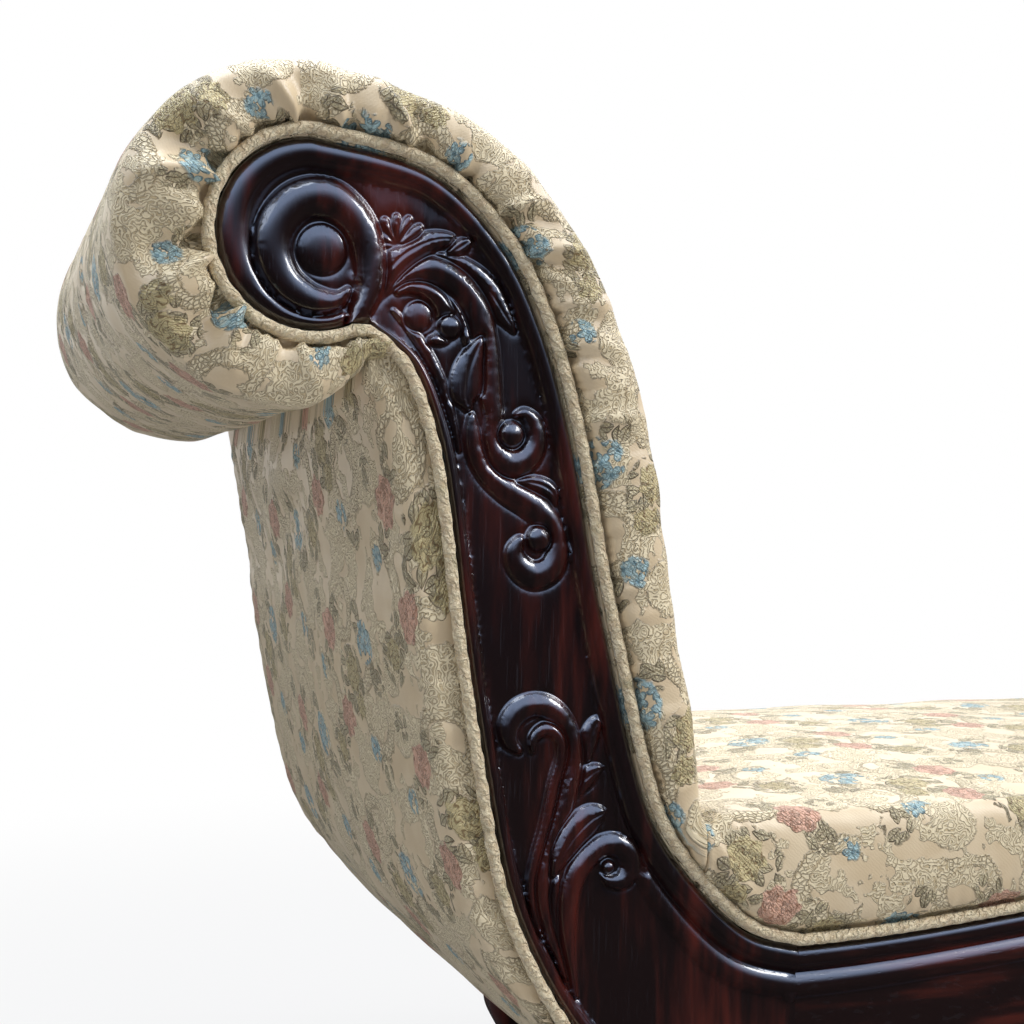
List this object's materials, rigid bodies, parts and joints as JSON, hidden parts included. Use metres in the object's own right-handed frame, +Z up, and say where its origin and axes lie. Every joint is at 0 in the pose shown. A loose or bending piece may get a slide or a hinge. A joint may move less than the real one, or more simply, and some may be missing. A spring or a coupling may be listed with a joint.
{
  "type": "fainting couch",
  "caption": "Backless fainting couch with a high scrolled head end, a low scrolled foot end, carved dark show wood, short cabriole legs and a tight sprung seat in floral brocade.",
  "frame": {"origin": "on the floor, under the middle of the couch's box", "axes": "+X towards the foot end, +Y towards the back, +Z up"},
  "size_m": [1.745, 0.629, 0.9431],
  "materials": {
    "brocade": "cream brocade with flowers in blue, pink and olive",
    "stuffing": "cotton felt over hair",
    "jute": "woven jute",
    "show_wood": "carved, dark red-brown, high-gloss lacquer",
    "frame_wood": "sawn and planed hardwood",
    "steel": "plain steel",
    "cambric": "black cambric"
  },
  "bodies": {
    "root": {"front_rail": "show_wood", "back_rail": "show_wood", "head_facing_front": "show_wood", "head_facing_back": "show_wood", "foot_facing_front": "show_wood", "foot_facing_back": "show_wood", "head_frame_front": "frame_wood", "head_frame_back": "frame_wood", "foot_frame_front": "frame_wood", "foot_frame_back": "frame_wood", "head_end_rail": "frame_wood", "foot_end_rail": "frame_wood", "head_crest_pole": "frame_wood", "foot_crest_pole": "frame_wood", "head_slats": "frame_wood", "foot_slats": "frame_wood", "seat_braces": "frame_wood", "corner_blocks": "frame_wood", "tacking_strips": "frame_wood", "leg_head_front": "show_wood", "leg_head_back": "show_wood", "leg_foot_front": "show_wood", "leg_foot_back": "show_wood", "leg_bolts": "steel", "foot_glides": "steel", "rail_dowels": "frame_wood", "facing_screws": "steel", "seat_webbing_long": "jute", "seat_webbing_cross": "jute", "seat_springs": "steel", "seat_burlap": "jute", "seat_edge_rolls": "stuffing", "seat_pad": "stuffing", "seat_cover": "brocade", "head_webbing": "jute", "head_pad": "stuffing", "head_cover": "brocade", "head_panel_backing": "jute", "head_panel_pad": "stuffing", "head_panel": "brocade", "foot_webbing": "jute", "foot_pad": "stuffing", "foot_cover": "brocade", "foot_panel_backing": "jute", "foot_panel_pad": "stuffing", "foot_panel": "brocade", "front_welt": "brocade", "back_welt": "brocade", "dust_cover": "cambric", "dust_cover_tacks": "steel"}
  },
  "joints": []
}
